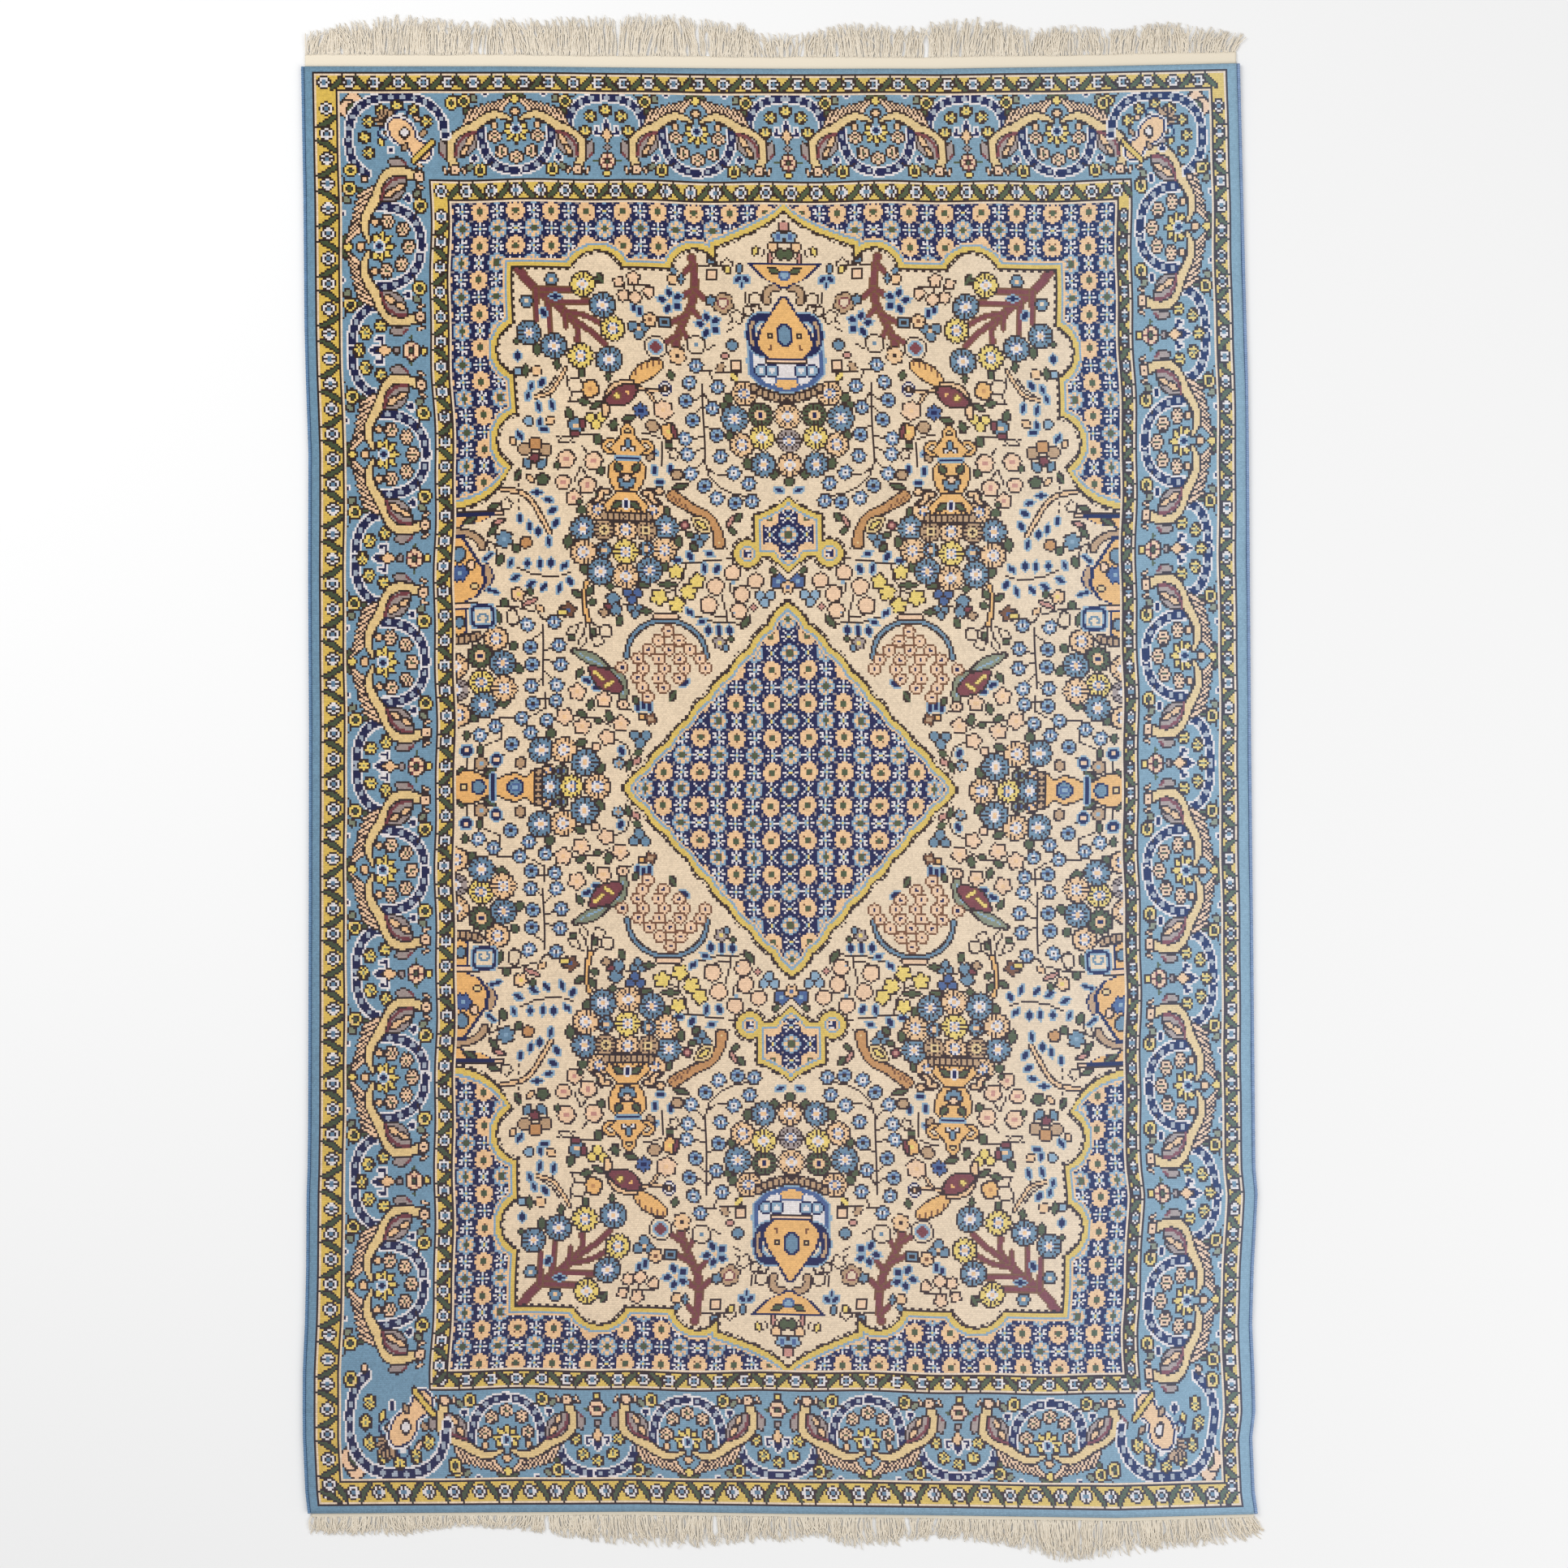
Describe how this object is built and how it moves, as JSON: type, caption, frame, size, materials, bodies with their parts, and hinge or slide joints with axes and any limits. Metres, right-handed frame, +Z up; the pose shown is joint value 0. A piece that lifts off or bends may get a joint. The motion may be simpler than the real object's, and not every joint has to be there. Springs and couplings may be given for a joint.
{
  "type": "persian rug",
  "caption": "Rectangular hand-knotted wool rug with an all-over medallion garden of vases and birds, wide garland border, side cords and cotton fringes, lying flat.",
  "frame": {"origin": "middle of the whole rug's footprint, fringes included, on the underside", "axes": "+Z up from the floor through the pile, +Y along the rug towards the end with the wider woven band, +X across it"},
  "size_m": [1.4052, 2.2648, 0.0092],
  "materials": {
    "wool_pile": "short knotted wool pile in many colours",
    "side_wool": "pale blue overcast wool",
    "cotton_weave": "ivory flat weave",
    "cotton_warp": "ivory twisted yarn"
  },
  "bodies": {
    "root": {"pile_carpet": "wool_pile", "selvedge_left": "side_wool", "selvedge_right": "side_wool", "kilim_top": "cotton_weave", "kilim_bottom": "cotton_weave", "fringe_top": "cotton_warp", "fringe_bottom": "cotton_warp"}
  },
  "joints": []
}
